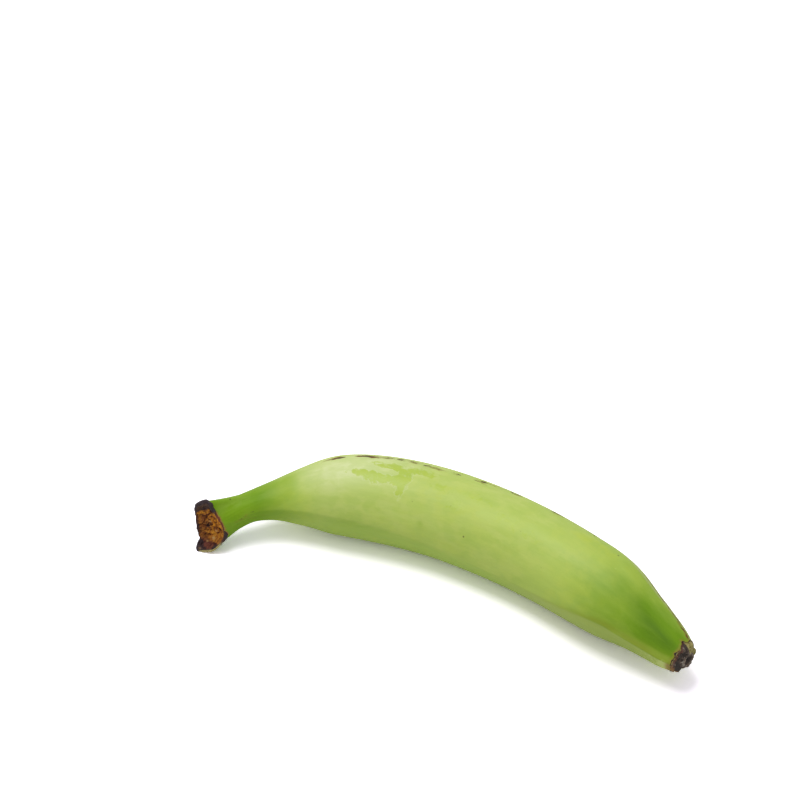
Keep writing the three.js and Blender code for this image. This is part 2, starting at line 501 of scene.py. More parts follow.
def grown_fruit(shape):
    """The bent fruit in metres, its fields with its relief in millimetres, and its edge rows.

    The straight fruit's two edges are rounded, it is bent, its relief is added along its normals,
    and whatever would lie under the floor is pressed flat.
    """
    points, angle, rows = straight_fruit()
    points = rounded_rows(points, rows[0], *RIM_ROUNDING)
    points = rounded_rows(points, rows[2], *DOME_ROUNDING)
    at = fields(points, angle, rows)
    smooth = bent(at.along, at.side, at.up)
    low, high = smooth.min((0, 1)), smooth.max((0, 1))

    # The cut's relief fades out 2 to 6 mm past its rim, and the flower end's 1 to 4 mm before it.
    cut = cut_relief(at, shape) * ease(6, 2, at.from_rim)
    dried = dried_relief(at, shape) * ease(-4, -1, at.past_peel)
    at.relief = peel_relief(at, shape) + cut + dried
    surface = smooth + outward(smooth) * at.relief[..., None]
    surface[0] = surface[0].mean(0)
    surface[-1] = surface[-1].mean(0)

    middle = (np.array(cad_box[0]) + np.array(cad_box[1])) / 2
    surface = (surface + np.array([*middle[:2] / MM - (low + high)[:2] / 2, 0])) * MM
    surface[..., 2] = np.maximum(surface[..., 2], cad_box[0][2])
    return surface, at, rows


def colour_fields(at):
    """Smooth fields of the peel's colour.

    deep: how far the peel is the deep green of the stem. valley: painted shade, dark green
    along the hollow near the flower end. shoulder: painted shade, deep green under the stem and the
    front ridge. bloom: where the waxy bloom is whole, heaviest over the top, partly a
    painted sheen, and dimmed as painted shade where the lamp's highlight is brightest.
    frost: where it is thickest, partly a painted highlight on the shoulder and along
    the top of the stem. rubbed: where it has been wiped off. mellow: a yellower stretch beside
    that. facet: the duller face under the front ridge. grey: the duller face behind the top ridge.
    parched: where the lower peel pales and browns beside the flower end.
    """
    along, turn, front = at.along, at.turn, at.front_ridge
    flank = ease(-8, 6, turn) * ease(104, 70, turn)
    stem = ease(58, 30, along + 6 * (1 - hump(turn, 95, 60))) * (1 - 0.18 * ease(70, 115, turn))
    deep = stem + ease(210, 272, along) * (0.54 + 0.46 * flank) + bells(DARK_SPOT, turn, along)

    # Painted shade: dark green along the hollow near the flower end.
    hollow = through(HOLLOW_LINE, along)
    valley = ease(246, 272, along) * hump(turn, hollow, np.where(turn > hollow, 15, 34))
    valley = valley * (0.85 - 0.3 * ease(276, 284, along))
    # Painted shade: deep green under the stem and below the front ridge, fading along the body.
    shoulder = ease(0.9, -0.5, front) * hump(turn, -8, 42) * ease(16, 34, along)
    shoulder = shoulder * (1 - 0.55 * ease(42, 64, along) - 0.3 * ease(64, 150, along))

    # Partly painted sheen: the bloom is laid on most heavily over the top, which faces the lamp.
    lengthwise = ease(44, 70, along) * (1 - 0.9 * ease(176, 250, along))
    bloom = lengthwise * (0.3 + 0.7 * hump(turn, 84, 55 + 24 * ease(160, 100, along)))
    # Painted shade: less bloom where the lamp's highlight is brightest.
    bloom = bloom * (1 - bells(SHADE_ON_BLOOM, turn, along))
    # The thickest bloom on the upper shoulder, partly a painted highlight where the lamp falls, and
    # a painted highlight along the top of the stem.
    frost = ease(44, 60, along) * hump(along, 78, 34)
    frost = frost * hump(turn, 78 + 16 * ease(70, 110, along), 33) + bells(STEM_HIGHLIGHT, turn, along)

    facet_from = 1.3 * ease(150, 190, along) * ease(250, 225, along)
    facet_to = -60 - 30 * ease(235, 265, along)
    facet = ease(facet_from, facet_from - 1.4, front) * ease(facet_to - 35, facet_to, turn)
    facet = facet * ease(50, 75, along)
    grey = ease(-0.5, 1.5, at.top_ridge) * ease(150, 250, along) * ease(175, 150, turn)
    parched = ease(-9, -2.5, at.past_peel) * hump(at.angle, -16, 22)
    return {
        "deep": deep, "valley": valley, "shoulder": shoulder, "bloom": bloom, "frost": frost,
        "rubbed": bells(RUBBED, turn, along), "mellow": bells(MELLOW, turn, along),
        "facet": facet, "grey": grey, "parched": parched + 0.45 * facet * ease(250, 274, along),
    }


def ridge_fields(at):
    """Smooth fields of the marks along the ridges.

    seam: the yellowed band along the front ridge. scuffed: where a ridge has been knocked, and
    where specks gather along it.
    """
    along, turn, front, top = at.along, at.turn, at.front_ridge, at.top_ridge
    seam_width = np.where(front > 0.6, 1.5 + 1.3 * ease(232, 256, along), 0.9)
    seam = hump(front, 0.6, seam_width) * ease(200, 244, along)
    end_specks = 0.72 * hump(top, through(BACK_LINE, along), 1.6) + 0.15 * hump(top, 0, 0.8)
    far_ridges = 0.5 * hump(at.from_ridge, 0, 1) * hump(along, 150, 70) * (np.abs(turn) > 140)
    stem_line = 0.8 * hump(along, 49, 9) * hump(top, -1.6, 0.8)
    stem_spots = 0.32 * hump(turn, -12, 26) * hump(along, 22, 16)
    top_line = 0.2 * hump(turn, through(KNOCK_LINE, along) + 4, 4)
    top_line = top_line * ease(112, 140, along) * ease(235, 215, along)
    scuffed = 1.15 * knocked(at) + ease(232, 256, along) * end_specks + far_ridges
    return {"seam": seam, "scuffed": scuffed + stem_line + stem_spots + top_line}


def end_fields(at):
    """Smooth fields of the cut and of the flower end.

    stained: where the cut has gone dark. reddened: where it is red brown. dark_lip: where its lip
    is black and not rusty. heel: the pale edge under the crown. husk: peel that reaches over the
    flower end.
    """
    side, up, from_rim, angle = at.side, at.up, at.from_rim, at.angle
    stained = (
        1.3 * ease(9.0, 11.8, up - 0.2 * side)
        + 1.3 * hump(side, 8.2, 2) * hump(up, -3, 3.3)
        + 0.85 * hump(side, -1, 2.6) * hump(up, -0.5, 3)
        + 0.5 * hump(up + 0.36 * side, -7.4, 0.8)
        + 1.0 * hump(from_rim, -2.0, 1.3) * ease(-6, -9, up)
        + 0.85 * ease(-3.8, -5.6, side) * ease(8, 0, up)
        + 0.7 * ease(-8, -10, up) * ease(2, 0, side)
    )
    reddened = ease(1, -4, side) * ease(10, 4, up) + 0.5 * ease(-3, -7, up)
    dark_top = ease(8, 12, up) * np.where(from_rim > 0, 0.45, 1)
    dark_rest = hump(side, 8, 3) * hump(up, -3, 4.5) + ease(-7, -9, up) + 0.7 * ease(-3.5, -5, side)
    heel = ease(-6, -8.5, up) * ease(-0.5, 1.5, side) * ease(-1, -0.4, from_rim)
    back = ease(88, 100, angle % 360) * ease(215, 190, angle % 360) * ease(3, 5, at.radius)
    front = ease(1.4, 0.2, at.past_peel) * ease(-10, 10, angle) * ease(78, 66, angle)
    return {
        "stained": stained / 1.5, "reddened": reddened, "dark_lip": dark_top + dark_rest,
        "heel": heel * ease(5, 3, from_rim), "husk": back + 0.6 * front,
    }


def painted_fields(at):
    """The fields that the finishes break up with their own noise, each clipped to 0 to 1."""
    parts = {**colour_fields(at), **ridge_fields(at), **end_fields(at)}
    return {name: np.clip(values, 0, 1) for name, values in parts.items()}


def bake_map(at, rows):
    """Where each point lies on the flat map: an array each for the cut, the peel and the tip.

    The peel is a strip over the map's lower part, its length by its arc and its girth by its angle.
    The cut face is drawn as seen along the stem, and the flower end as rings round its middle, each
    in its own place above the strip. The first column is repeated after the last.
    """
    rim, border, _ = rows
    columns = at.along.shape[1]
    side, up, way = (np.append(f, f[:, :1], 1) for f in (at.side, at.up, at.travelled))
    cut = stacked(CUT_PLACE[0] + CUT_SCALE * side, CUT_PLACE[1] + CUT_SCALE * (up - CUT_MIDDLE_UP))

    mean = at.travelled.mean(1)
    length = np.clip((mean - mean[rim]) / (mean[border] - mean[rim]), 0, 1)[:, None]
    girth = np.linspace(0, 1, columns + 1)
    strip = STRIP_CORNER + stacked(STRIP_SIZE[0] * length, STRIP_SIZE[1] * girth)

    ring = END_RADIUS * (way[-1] - way) / (way[-1] - way[border])
    turn = np.radians(360 / columns * np.arange(columns + 1))
    end = stacked(END_PLACE[0] + ring * np.cos(turn), END_PLACE[1] + ring * np.sin(turn))
    return cut, strip, end


def face_map(pages, rows, count, columns):
    """The map's places for every corner of every face, in the order of `ring_faces`."""
    r, c = np.meshgrid(np.arange(1, count - 2), np.arange(columns), indexing="ij")
    choices = [np.stack([p[r, c], p[r + 1, c], p[r + 1, c + 1], p[r, c + 1]], -2) for p in pages]
    quads = np.choose(np.digitize(r, rows[:2])[..., None, None], choices)
    here, (cut, _, end) = np.arange(columns), pages
    first = np.stack([cut[0, here], cut[1, here], cut[1, here + 1]], 1)
    last = np.stack([end[-2, here], end[-1, here], end[-2, here + 1]], 1)
    return np.concatenate([part.reshape(-1, 2) for part in (first, quads, last)])


def ring_faces(rows, columns):
    """Corner numbers of a net of rows: four-cornered faces, with a fan of triangles at each pole.

    Vertex 0 is the first pole, the rings follow, and the last vertex is the other pole.
    """
    here = np.arange(columns)
    after = (here + 1) % columns
    first = 1 + columns * np.arange(rows - 3)[:, None]
    quads = stacked(first + here, first + columns + here, first + columns + after, first + after)
    last = 1 + columns * (rows - 2)
    start = stacked(0, 1 + here, 1 + after)
    end = stacked(last - columns + here, last, last - columns + after)
    return start, quads.reshape(-1, 4), end


def by_vertex(values):
    """Values laid out in rows, as a list with one entry for each vertex."""
    rings = values[1:-1].reshape(-1, *values.shape[2:])
    return np.concatenate([values[:1, 0], rings, values[-1:, 0]])


def mesh_of(name, surface, at, rows):
    """A closed smooth mesh from rows of points whose first and last rows are single points."""
    count, columns = surface.shape[:2]
    vertices = by_vertex(surface)
    faces = ring_faces(count, columns)
    corners = np.concatenate([part.ravel() for part in faces])
    sizes = np.concatenate([np.full(len(part), part.shape[1]) for part in faces])
    mesh = bpy.data.meshes.new(name)
    mesh.vertices.add(len(vertices))
    mesh.vertices.foreach_set("co", vertices.astype(np.float32).ravel())
    mesh.loops.add(len(corners))
    mesh.loops.foreach_set("vertex_index", corners.astype(np.int32))
    mesh.polygons.add(len(sizes))
    starts = np.append(0, np.cumsum(sizes)[:-1])
    mesh.polygons.foreach_set("loop_start", starts.astype(np.int32))
    mesh.polygons.foreach_set("use_smooth", np.ones(len(sizes), bool))
    places = face_map(bake_map(at, rows), rows, count, columns)
    mesh.uv_layers.new(name="OFBake").data.foreach_set("uv", places.astype(np.float32).ravel())
    mesh.update(calc_edges=True)
    mesh.validate()
    return mesh


def give_attribute(mesh, name, values):
    """Stores one number or one vector for each vertex, from an array laid out as the rows are."""
    kind, key = ("FLOAT_VECTOR", "vector") if values.ndim == 3 else ("FLOAT", "value")
    data = mesh.attributes.new(name, kind, "POINT").data
    data.foreach_set(key, by_vertex(values).astype(np.float32).ravel())


# ---- Finishes ----


class Board:
    """Places shader nodes in one tree and joins them. A value is a socket, a number or a colour."""

    def __init__(self, tree):
        self.tree = tree
        self.placed = 0

    def join(self, value, socket):
        if isinstance(value, bpy.types.NodeSocket):
            self.tree.links.new(value, socket)
        else:
            opaque = socket.type == "RGBA" and len(value) == 3
            socket.default_value = (*value, 1) if opaque else value

    def put(self, kind, *values, **settings):
        """A new shader node with its settings, whose first inputs take the values."""
        node = self.tree.nodes.new("ShaderNode" + kind)
        node.location = (180 * (self.placed % 12), -220 * (self.placed // 12))
        self.placed += 1
        for key, value in settings.items():
            setattr(node, key, value)
        for value, socket in zip(values, node.inputs):
            self.join(value, socket)
        return node

    def feed(self, node, **values):
        """Joins values to a node's inputs by name, with _ for a space. Returns its outputs."""
        for key, value in values.items():
            self.join(value, node.inputs[key.replace("_", " ").capitalize()])
        return node.outputs

    def maths(self, operation, *values):
        """Two or more values put together from left to right."""
        def pair(first, second):
            return self.put("Math", first, second, operation=operation).outputs[0]
        return reduce(pair, values)

    times = partialmethod(maths, "MULTIPLY")
    plus = partialmethod(maths, "ADD")
    over = partialmethod(maths, "DIVIDE")
    most = partialmethod(maths, "MAXIMUM")

    def span(self, value, low, high, to_low=0.0, to_high=1.0, soft=True):
        """A value from low to high, carried to a new range."""
        kind = "SMOOTHSTEP" if soft else "LINEAR"
        given = (value, low, high, to_low, to_high)
        return self.put("MapRange", *given, interpolation_type=kind).outputs[0]

    def blend(self, share, first, second):
        """A mix of two colours, which are a Mix node's inputs 6 and 7 and its output 2."""
        node = self.put("Mix", share, data_type="RGBA", clamp_factor=True)
        self.join(first, node.inputs[6])
        self.join(second, node.inputs[7])
        return node.outputs[2]

    def coats(self, colour, *coats):
        """Lays coats over a colour, each given as (where it lies, how thick it is, its colour)."""
        for mask, share, coat in coats:
            colour = self.blend(self.times(mask, share), colour, coat)
        return colour

    def vector(self, *parts):
        return self.put("CombineXYZ", *parts).outputs[0]

    def part(self, vector, number):
        return self.put("SeparateXYZ", vector).outputs[number]

    def scaled(self, vector, factors):
        return self.put("VectorMath", vector, factors, operation="MULTIPLY").outputs[0]

    def moved(self, vector, way):
        return self.put("VectorMath", vector, way, operation="ADD").outputs[0]

    def grain(self, vector, scale, detail=2.0, roughness=0.5, distortion=0.0):
        """Noise with about `scale` hills to the millimetre of place."""
        node = self.put("TexNoise", noise_dimensions="3D")
        return self.feed(node, vector=vector, scale=scale, detail=detail, roughness=roughness,
                         distortion=distortion)["Fac"]

    def field(self, name, kind="Fac"):
        """One of the fruit's own attributes."""
        return self.put("Attribute", attribute_name=name).outputs[kind]

    def group(self, tree, **values):
        return self.feed(self.put("Group", node_tree=tree), **values)


class Finish(Board):
    """A board over a new material, with the fruit's place and the shared effects at hand."""

    def __init__(self, name, effects):
        self.material = bpy.data.materials.new(name)
        self.material.use_nodes = True
        super().__init__(self.material.node_tree)
        self.effects = effects
        self.place = self.field("place", "Vector")

    def effect(self, name, **values):
        """A shared effect's outputs. Its place is the fruit's own unless another one is given."""
        return self.group(self.effects[name], **{"place": self.place, **values})

    def broken(self, field, **values):
        return self.effect("broken", field=field, **values)[0]

    def finished(self, colour, roughness, height, depth, specular):
        """Feeds the shader and returns the material. The height's full range is `depth` metres."""
        shader = self.tree.nodes["Principled BSDF"].inputs
        bump = self.put("Bump")
        self.join(colour, shader["Base Color"])
        self.join(roughness, shader["Roughness"])
        self.join(self.feed(bump, strength=1.0, distance=depth, height=height)[0], shader["Normal"])
        shader["Specular IOR Level"].default_value = specular
        return self.material


def new_group(name, inputs, outputs):
    """An empty node group and a board to fill it.

    Each socket is given with its default, whose length makes it a value, a vector or a colour.
    """
    tree = bpy.data.node_groups.new(name, "ShaderNodeTree")
    kinds = {1: "NodeSocketFloat", 3: "NodeSocketVector", 4: "NodeSocketColor"}
    for way, sockets in (("INPUT", inputs), ("OUTPUT", outputs)):
        for label, default in sockets.items():
            kind = kinds[np.size(default)]
            socket = tree.interface.new_socket(label, in_out=way, socket_type=kind)
            socket.default_value = default
    given = tree.nodes.new("NodeGroupInput").outputs
    result = tree.nodes.new("NodeGroupOutput").inputs
    return tree, Board(tree), given, result


def streaks_group():
    """Soft streaks along the fruit: noise on the straight fruit's place, drawn out lengthwise."""
    tree, board, given, result = new_group(
        "Peel streaks",
        {"Place": (0, 0, 0), "Length": 30.0, "Width": 4.0, "Low": 0.35, "High": 0.65, "Shift": 0.0},
        {"Streaks": 0.0},
    )
    across = board.over(1.0, given["Width"])
    drawn_out = board.vector(board.over(1.0, given["Length"]), across, across)
    shift = board.vector(given["Shift"], given["Shift"])
    place = board.moved(board.scaled(given["Place"], drawn_out), shift)
    drawn = board.grain(place, 1.0, detail=3.0, roughness=0.55, distortion=0.25)
    board.join(board.span(drawn, given["Low"], given["High"]), result["Streaks"])
    return tree


def broken_group():
    """Breaks a smooth field into ragged patches: the field plus noise, past a threshold."""
    tree, board, given, result = new_group(
        "Broken patches",
        {"Field": 0.0, "Place": (0, 0, 0), "Size": 4.0, "Ragged": 0.6, "Start": 0.5, "Soft": 0.1},
        {"Patches": 0.0},
    )
    finer = board.over(1.0, given["Size"])
    rough = board.grain(given["Place"], finer, detail=4.0, roughness=0.6, distortion=0.6)
    swing = board.times(board.plus(rough, -0.5), given["Ragged"])
    level = board.plus(given["Field"], board.times(swing, 2.0))
    # The noise counts only where there is some field, so that nothing shows outside it.
    level = board.times(level, board.span(given["Field"], 0.02, 0.2))
    end = board.plus(given["Start"], given["Soft"])
    board.join(board.span(level, given["Start"], end), result["Patches"])
    return tree


def specks_group():
    """Small dark specks: cells of which a share holds one, each a soft dot of its own size."""
    tree, board, given, result = new_group(
        "Specks",
        {"Place": (0, 0, 0), "Spacing": 6.0, "Share": 0.2, "Size": 0.12},
        {"Specks": 0.0},
    )
    cells = board.put("TexVoronoi", feature="F1", voronoi_dimensions="3D")
    cells = board.feed(cells, vector=given["Place"], scale=board.over(1.0, given["Spacing"]))
    parts = board.put("SeparateColor", cells["Color"]).outputs
    chosen = board.maths("LESS_THAN", parts[0], given["Share"])
    own_size = board.times(given["Size"], board.plus(0.5, parts[1]))
    dot = board.span(cells["Distance"], own_size, board.times(own_size, 0.4))
    board.join(board.times(dot, chosen), result["Specks"])
    return tree


def drying_group():
    """The browned edge between living peel and dried tissue.

    Reach counts down in millimetres from the edge into the peel. The peel's colour goes olive,
    then tan, then dark over that way, and noise makes the three bands wander.
    """
    tree, board, given, result = new_group(
        "Browned edge",
        {"Peel": (0.2, 0.4, 0.05, 1), "Olive": (0.2, 0.2, 0.03, 1), "Tan": (0.3, 0.16, 0.05, 1),
         "Dark": (0.03, 0.015, 0.015, 1), "Reach": 10.0, "Olive width": 4.0, "Tan width": 1.6,
         "Dark width": 0.8, "Place": (0, 0, 0)},
        {"Colour": (0, 0, 0, 1), "Dried": 0.0},
    )
    wander = board.plus(board.grain(given["Place"], 0.45, detail=4.0, roughness=0.6), -0.5)
    reach = board.plus(given["Reach"], board.times(wander, 3.2))
    olive = board.span(reach, given["Olive width"], 0.0)
    tan = board.span(reach, given["Tan width"], board.times(given["Tan width"], 0.4))
    dark = board.span(reach, given["Dark width"], board.times(given["Dark width"], 0.3))
    colour = board.coats(given["Peel"], (olive, 0.8, given["Olive"]), (tan, 0.85, given["Tan"]),
                         (dark, 1.0, given["Dark"]))
    board.join(colour, result["Colour"])
    board.join(board.most(tan, dark), result["Dried"])
    return tree


def peel_finish(colours, effects):
    """Waxy green peel: streaks, bloom with rubbed patches, knocked ridges, browned edges, painted
    sheen, highlight and shade.
    """
    board = Finish("Green peel", effects)
    place, field, span, blend = board.place, board.field, board.span, board.blend
    times, plus, broken = board.times, board.plus, board.broken
    along = board.part(place, 0)

    broad, middle, fine, patches, thread = (
        board.effect("streaks", length=length, width=width, low=low, high=high, shift=shift)[0]
        for length, width, low, high, shift in (
            (40.0, 15.0, 0.3, 0.7, 3.0),
            (19.0, 7.0, 0.32, 0.7, 11.0),
            (15.0, 2.2, 0.3, 0.75, 23.0),
            (8.0, 6.5, 0.38, 0.66, 41.0),
            (7.0, 0.6, 0.3, 0.75, 29.0),
        )
    )
    rubbed = broken(field("rubbed"), size=3.4, ragged=1.25, start=0.24, soft=0.8)
    # The pushed-up bloom round the wiped patch, pale as a painted highlight along its rim, which
    # shows only towards the stem.
    edge = times(span(rubbed, 0.0, 0.12), span(rubbed, 0.5, 0.15), span(along, 126.0, 114.0))
    # How thick the bloom is from place to place, and how much of it the wiping has left.
    cloud = span(plus(times(middle, 0.6), times(patches, 0.4)), 0.1, 0.9, 0.5, 1.0)
    kept = span(rubbed, 0.0, 1.0, 1.0, 0.15)
    # The whole bloom, partly a painted sheen over the top.
    bloom = times(field("bloom"), cloud, kept)
    # The thickest bloom, partly a painted highlight.
    frost = times(field("frost"), span(cloud, 0.5, 1.0, 0.72, 1.0), kept)
    mellow = times(field("mellow"), span(patches, 0.0, 1.0, 0.15, 0.5))
    deep = field("deep")
    swing = times(plus(middle, -0.5), times(span(deep, 0.0, 0.3), 0.22))
    long_place, drawn_place = board.scaled(place, (0.35, 1, 1)), board.scaled(place, (0.4, 1, 1))
    scuffed = partial(broken, field("scuffed"), place=long_place)
    halo = scuffed(size=2.2, ragged=0.9, start=0.3, soft=0.5)
    scuff = scuffed(size=2.0, ragged=1.3, start=0.56, soft=0.24)
    specks = board.effect("specks", spacing=7.0, share=0.2, size=0.075)[0]
    pale = board.effect("specks", place=drawn_place, spacing=4.5, share=0.12, size=0.07)[0]

    colour = board.coats(
        blend(broad, colours.green, colours.pale_green),
        (patches, 0.46, colours.yellow_green),
        (bloom, 0.8, colours.bloom),
        (frost, 0.58, colours.frost),
        (board.most(times(rubbed, 0.48), mellow), 1.0, colours.yellow_green),
        (edge, 0.2, colours.frost),
        (field("facet"), 0.3, colours.dull_green),
        (plus(deep, swing), 1.0, blend(broad, colours.deep_green, colours.leaf_green)),
        # Painted shade in the hollow near the flower end.
        (times(field("valley"), span(fine, 0.0, 1.0, 1.0, 0.75)), 1.0, colours.dark_green),
        # Painted shade under the stem and the front ridge.
        (field("shoulder"), 0.44, colours.deep_green),
        (fine, 0.05, colours.dark_green),
        (times(field("facet"), span(along, 165.0, 215.0)), 0.72, colours.pale_facet),
        (field("grey"), 0.75, colours.pale_facet),
        (times(field("seam"), span(middle, 0.0, 1.0, 0.5, 0.85)), 1.0, colours.yellowed),
        (halo, 0.8, colours.olive),
        (scuff, 0.92, blend(patches, colours.scuff, colours.bruise)),
        (specks, 0.7, colours.scuff),
        (pale, 0.35, colours.bloom),
    )
    browned = partial(board.effect, "drying", olive=colours.olive, tan=colours.tan, dark_width=0.4)
    rim = browned(
        peel=colour, dark=blend(field("dark_lip"), colours.rust, colours.rim),
        reach=field("from_rim"), olive_width=2.1, tan_width=1.3,
    )
    parched = broken(field("parched"), size=1.6, ragged=0.7, start=0.3, soft=0.5)
    pale_edge = blend(span(field("past_peel"), -4.5, -1.5), colours.bloom, colours.tan)
    foot = board.coats(rim[0], (field("heel"), 0.9, colours.heel), (parched, 0.8, pale_edge))
    tip = browned(
        peel=foot, dark=colours.dried, reach=times(field("past_peel"), -1.0),
        olive_width=2.6, tan_width=0.6,
    )
    worn = board.most(rim[1], tip[1], scuff)
    waxy = plus(0.4, times(bloom, 0.16), times(deep, 0.2), times(rubbed, -0.08))
    pores = board.grain(place, 2.2, detail=3.0, roughness=0.6)
    crust = times(worn, board.grain(place, 3.5, detail=4.0))
    height = plus(times(thread, 0.5), times(pores, 0.8), crust)
    return board.finished(
        tip[0], span(worn, 0.0, 1.0, waxy, 0.72, soft=False), height, depth=0.00005, specular=0.22,
    )


def cut_finish(colours, effects):
    """The dried cut: orange strands over brown, sap stains, a near-black lip and pale flecks, with
    painted shade in its hollows and painted highlights among the flecks.
    """
    board = Finish("Dried stem cut", effects)
    place, field, span, blend = board.place, board.field, board.span, board.blend
    times, plus = board.times, board.plus

    strand_place = board.scaled(place, (0.2, 1.3, 0.7))
    bright_place = board.scaled(place, (0.2, 1.2, 0.8))
    fleck_place = board.scaled(place, (0.3, 0.8, 1))
    strand = board.grain(strand_place, 1.0, detail=5.0, roughness=0.65, distortion=0.5)
    # Painted shade: the low parts of the relief, the dish and the gaps between torn strands, go
    # dark on top of the strands' own pattern, and the brightest orange keeps to what stands up.
    strands_and_shade = plus(span(field("relief"), -2.6, 0.0), times(plus(strand, -0.5), 2.3))
    bright = board.grain(bright_place, 0.6, detail=4.0, roughness=0.6, distortion=0.3)
    bright = times(span(bright, 0.44, 0.56), span(strands_and_shade, 0.25, 0.65))
    red = times(span(board.grain(place, 0.45, detail=3.0), 0.45, 0.6), 0.35)
    ledge = span(plus(board.part(place, 2), 8.2), 0.9, -0.6)
    stain = board.broken(field("stained"), size=2.2, ragged=0.8, start=0.36, soft=0.34)
    # Pale flecks on the cut, partly painted highlights.
    fleck_and_highlight = board.effect("specks", place=fleck_place, spacing=2.3, share=0.3, size=0.32)[0]
    wander = times(plus(board.grain(place, 0.5, detail=3.0), -0.5), 1.4)
    reach = plus(times(field("from_rim"), -1.0), wander)
    dark_lip = field("dark_lip")
    colour = board.coats(
        blend(span(strands_and_shade, -0.08, 0.66), colours.callus_gap_shade, colours.callus),
        (bright, 0.9, colours.callus_bright),
        (board.most(red, times(field("reddened"), plus(strand, 0.2))), 1.0, colours.rust),
        (ledge, 0.85, colours.maroon),
        (stain, 0.93, colours.rim),
        (times(fleck_and_highlight, span(stain, 1.0, 0.5, 0.35, 1.0)), 0.8, colours.fleck_and_highlight),
        (span(reach, 0.7, 0.2), 1.0, blend(dark_lip, colours.rust, colours.rim)),
        (times(dark_lip, span(reach, 1.8, 0.9)), 1.0, colours.rim),
        (times(field("heel"), span(plus(strand, wander), 0.3, 0.6, 0.6, 1.0)), 1.0, colours.heel),
    )
    height = plus(strand, times(board.grain(place, 4.0, detail=4.0), 0.5))
    return board.finished(
        colour, span(stain, 0.0, 1.0, 0.75, 0.5, soft=False), height, depth=0.0005, specular=0.3,
    )


def dried_finish(colours, effects):
    """The dried flower end: near black, with worn folds, grey flecks, husk and a rusty foot; the
    folds and flecks on raised relief are partly painted highlights.
    """
    board = Finish("Dried flower end", effects)
    place, field, span, blend = board.place, board.field, board.span, board.blend
    times, plus, broken = board.times, board.plus, board.broken
    relief, past = field("relief"), field("past_peel")

    crease_place = board.scaled(place, (0.6, 1.2, 1.2))
    crease = board.grain(crease_place, 0.8, detail=5.0, roughness=0.65, distortion=0.5)
    # Lighter brown where the relief stands up: worn folds, partly a painted highlight on their
    # tops.
    worn = span(plus(times(relief, 0.45), crease), 0.35, 0.95)
    rust = broken(span(past, 3.6, 0.4), size=2.4, ragged=0.9, start=0.5, soft=0.3)
    low = span(board.part(place, 2), 1.0, -4.0)
    foot = times(span(past, 4.5, 0.5), plus(0.55, times(low, 0.45)))
    tan = broken(foot, size=1.3, ragged=0.8, start=0.55, soft=0.3)
    husk = broken(field("husk"), size=1.8, ragged=0.5, start=0.5, soft=0.2)
    # Grey flecks on the raised relief, partly painted highlights.
    grey = span(relief, -0.3, 0.5, 0.2, 0.68)
    fleck_and_highlight = broken(grey, size=1.0, ragged=0.85, start=0.66, soft=0.16)
    colour = board.coats(
        colours.dried,
        (worn, 0.85, colours.dried_brown),
        (rust, 0.4, colours.rust),
        (tan, 0.75, colours.tan),
        (husk, 0.85, blend(span(crease, 0.35, 0.6), colours.olive, colours.heel)),
        (fleck_and_highlight, 0.8, colours.dried_fleck),
    )
    height = plus(crease, times(board.grain(place, 3.0, detail=4.0), 0.5))
    return board.finished(
        colour, span(fleck_and_highlight, 0.0, 1.0, 0.6, 0.85, soft=False), height, depth=0.0005, specular=0.35,
    )


# ---- Settings ----


def amount(name, description, default, **rest):
    return FloatProperty(name=name, description=description, default=default, **rest)


def size(name, description, default, most):
    return amount(name, description, default, min=0, max=most, unit="LENGTH", precision=5)


def paint(name, description, default):
    return FloatVectorProperty(
        name=name, description=description, default=default, subtype="COLOR", size=3, min=0, max=1,
    )


class PlantainShape(bpy.types.PropertyGroup):
    """Sizes of the fruit's finer form."""

    unevenness: size("Unevenness", "Height of the skin's broad swellings", 0.00045, 0.002)
    lip_height: size("Lip height", "How far the cut's lip stands proud", 0.0006, 0.002)
    dish_depth: size("Dish depth", "How far the middle of the cut has sunk", 0.0016, 0.004)
    strand_height: size("Strand height", "Torn strands on the cut", 0.0011, 0.003)
    wrinkle_height: size("Wrinkle height", "Folds on the flower end", 0.0008, 0.002)


